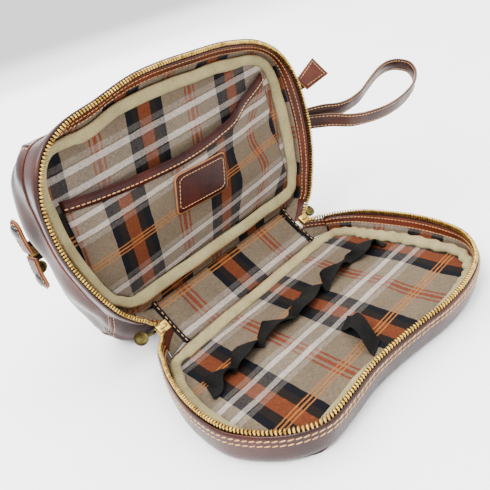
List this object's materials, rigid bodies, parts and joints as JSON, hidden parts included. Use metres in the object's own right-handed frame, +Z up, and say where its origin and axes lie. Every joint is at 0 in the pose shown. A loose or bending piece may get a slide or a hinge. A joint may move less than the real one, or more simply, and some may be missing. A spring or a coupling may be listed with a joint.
{
  "type": "shaving kit bag",
  "caption": "Leather shaving kit bag lying open: zip-round base tray with elastic loops, fabric-lined divider with pocket, soft main compartment with top zip, wrist strap.",
  "frame": {"origin": "middle of the base tray's flat underside, on the surface that the bag lies on", "axes": "+X along the hinge towards the wrist strap, -Y to the front where the tray opens, +Z up"},
  "size_m": [0.4631, 0.2808, 0.202],
  "materials": {
    "brown_leather": "smooth glazed dark brown leather with a fine grain",
    "red_leather": "glossy red-brown trim leather with raw tan edges",
    "plaid_lining": "woven plaid in taupe, navy, dark brown, rust and white with thin orange lines",
    "zip_tape": "red-brown woven zip tape",
    "brass_zip": "polished pale brass",
    "antique_brass": "dark antiqued brass",
    "beige_binding": "khaki twill binding, folded and stitched",
    "black_elastic": "black ribbed elastic webbing",
    "stiffener_board": "thin flexible stiffener board",
    "snap_cap": "glossy dark snap cap"
  },
  "bodies": {
    "base_tray": {"base_leather": "brown_leather", "base_board": "stiffener_board", "base_lining": "plaid_lining", "base_rim_leather": "brown_leather", "base_rim_lining": "plaid_lining", "base_zip_tape": "zip_tape", "base_zip_teeth": "brass_zip", "base_binding": "beige_binding", "elastic_long": "black_elastic", "elastic_short": "black_elastic"},
    "hinge_band": {"band_leather": "brown_leather", "band_lining": "plaid_lining", "band_seam_left": "black_elastic", "band_seam_right": "black_elastic", "zip_slider_left": "brass_zip", "zip_slider_right": "brass_zip"},
    "left_pull": {"zip_pull_left": "antique_brass"},
    "right_pull": {"zip_pull_right": "antique_brass"},
    "main_compartment": {"divider_lining": "plaid_lining", "divider_board": "stiffener_board", "main_floor_lining": "plaid_lining", "divider_rim_leather": "brown_leather", "divider_rim_lining": "plaid_lining", "divider_zip_tape": "zip_tape", "divider_zip_teeth": "brass_zip", "divider_binding": "beige_binding", "divider_welt": "red_leather", "pocket_cloth": "plaid_lining", "pocket_trim": "red_leather", "label_patch": "red_leather", "bottom_side_panel": "brown_leather", "right_end_panel": "brown_leather", "top_side_panel": "brown_leather", "left_end_panel": "brown_leather", "main_lining": "plaid_lining", "top_zip_tape": "zip_tape", "top_zip_teeth": "brass_zip", "strap_ring": "antique_brass", "ring_holder": "brown_leather"},
    "top_slider": {"top_slider": "brass_zip"},
    "top_pull": {"top_pull": "antique_brass"},
    "zip_tail": {"zip_tail": "zip_tape", "zip_end_tab": "red_leather"},
    "snap_tab_upper": {"snap_tab_upper": "red_leather", "snap_cap_upper": "snap_cap"},
    "snap_tab_lower": {"snap_tab_lower": "red_leather", "snap_cap_lower": "snap_cap"},
    "wrist_strap": {"wrist_strap": "brown_leather"}
  },
  "joints": [
    {"name": "main_fold", "type": "hinge", "parent": "hinge_band", "child": "main_compartment", "pos_m": [0, 0.10901, 0.03201], "axis": [1, 0, 0], "range_deg": [0, 45]},
    {"name": "band_fold", "type": "hinge", "parent": "base_tray", "child": "hinge_band", "pos_m": [0, 0.082, 0.005], "axis": [1, 0, 0], "range_deg": [0, 45]},
    {"name": "left_pull_swing", "type": "hinge", "parent": "hinge_band", "child": "left_pull", "pos_m": [-0.0846, 0.09713, 0.019], "axis": [0, 0.7071, 0.7071], "range_deg": [-150, 0]},
    {"name": "right_pull_swing", "type": "hinge", "parent": "hinge_band", "child": "right_pull", "pos_m": [0.0956, 0.09713, 0.019], "axis": [0, 0.7071, 0.7071], "range_deg": [0, 150]},
    {"name": "top_zip_slide", "type": "slide", "parent": "main_compartment", "child": "top_slider", "axis": [1, 0, 0], "range_m": [0, 0.215]},
    {"name": "top_pull_swing", "type": "hinge", "parent": "top_slider", "child": "top_pull", "pos_m": [-0.11475, 0.18911, 0.09401], "axis": [1, 0, 0], "range_deg": [0, 150]},
    {"name": "zip_tail_swing", "type": "hinge", "parent": "main_compartment", "child": "zip_tail", "pos_m": [0.1355, 0.18101, 0.09601], "axis": [0, 0, 1], "range_deg": [-8, 50]},
    {"name": "snap_tab_upper_fold", "type": "hinge", "parent": "main_compartment", "child": "snap_tab_upper", "pos_m": [-0.1227, 0.17101, 0.09921], "axis": [0, 1, 0], "range_deg": [-80, 0]},
    {"name": "snap_tab_lower_fold", "type": "hinge", "parent": "main_compartment", "child": "snap_tab_lower", "pos_m": [-0.1227, 0.17101, 0.09481], "axis": [0, 1, 0], "range_deg": [0, 80]},
    {"name": "wrist_strap_swing", "type": "hinge", "parent": "main_compartment", "child": "wrist_strap", "pos_m": [0.1392, 0.12001, 0.10001], "axis": [0, 0, 1], "range_deg": [-45, 25]}
  ],
  "couplings": [
    {"joint": "band_fold", "follows": "main_fold", "ratio": 1}
  ]
}
